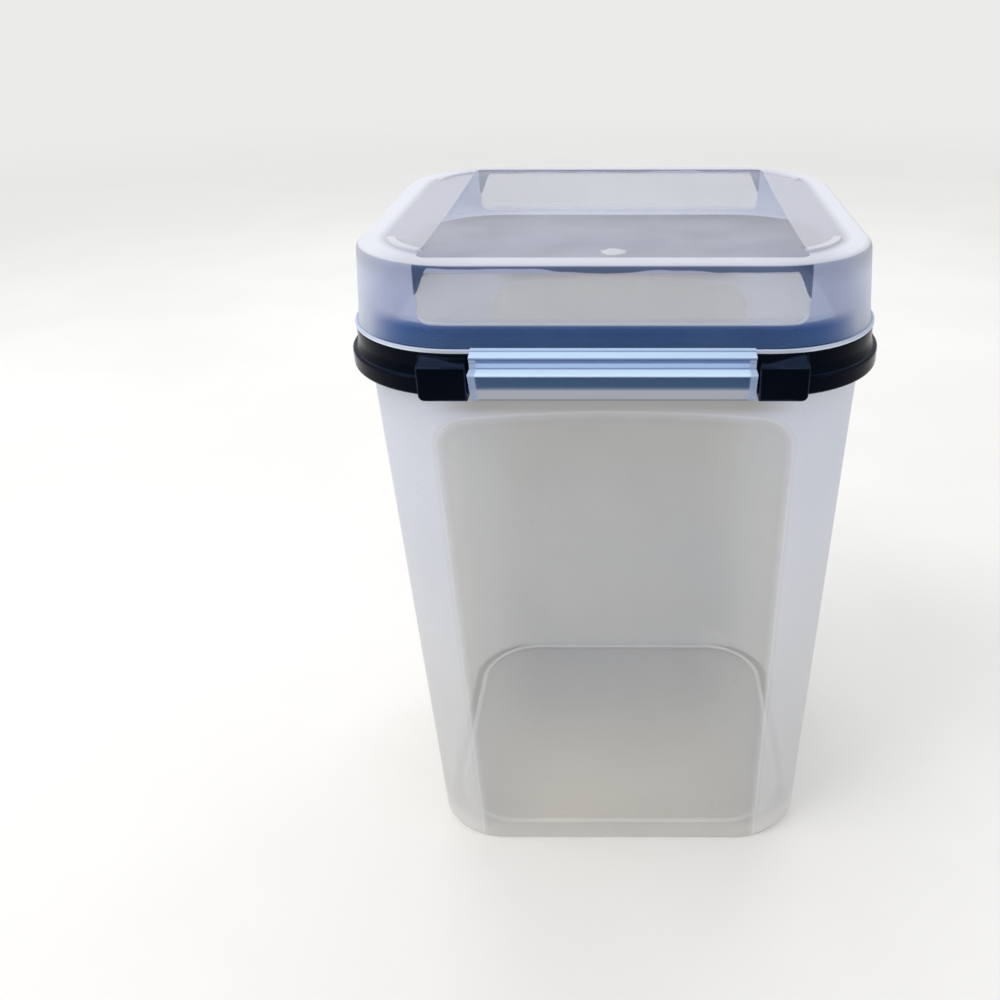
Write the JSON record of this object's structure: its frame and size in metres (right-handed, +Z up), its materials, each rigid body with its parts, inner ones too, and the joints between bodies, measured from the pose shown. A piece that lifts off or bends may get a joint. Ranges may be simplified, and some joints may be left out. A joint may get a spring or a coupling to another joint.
{
  "type": "rice bin with flip lid",
  "caption": "Tapered translucent storage bin with a clipped collar, a domed lid that flips open at the back and a clear front latch flap.",
  "frame": {"origin": "middle of the base, on the surface that the bin stands on", "axes": "+X to the bin's right, +Y to its hinge side, so the front and latch face -Y, +Z up"},
  "size_m": [0.2572, 0.2482, 0.3588],
  "materials": {
    "frosted_body": "frosted translucent polypropylene with polished windows",
    "black_collar": "glossy blue-black",
    "clear_rubber": "translucent silicone",
    "dark_rubber": "dark silicone",
    "frosted_lid": "frosted translucent polypropylene with polished windows",
    "clear_latch": "clear polished polypropylene"
  },
  "bodies": {
    "bin": {"bin_body": "frosted_body", "collar_ring": "black_collar", "collar_gasket": "clear_rubber", "lid_seal": "dark_rubber", "hinge_pin_left": "black_collar", "hinge_pin_right": "black_collar"},
    "lid": {"lid_dome": "frosted_lid"},
    "latch": {"latch_flap": "clear_latch"}
  },
  "joints": [
    {"name": "lid_hinge", "type": "hinge", "parent": "bin", "child": "lid", "pos_m": [0, 0.11822, 0.3165], "axis": [-1, 0, 0], "range_deg": [0, 110]},
    {"name": "latch_hinge", "type": "hinge", "parent": "lid", "child": "latch", "pos_m": [0, -0.11862, 0.3176], "axis": [-1, 0, 0], "range_deg": [0, 100]}
  ]
}
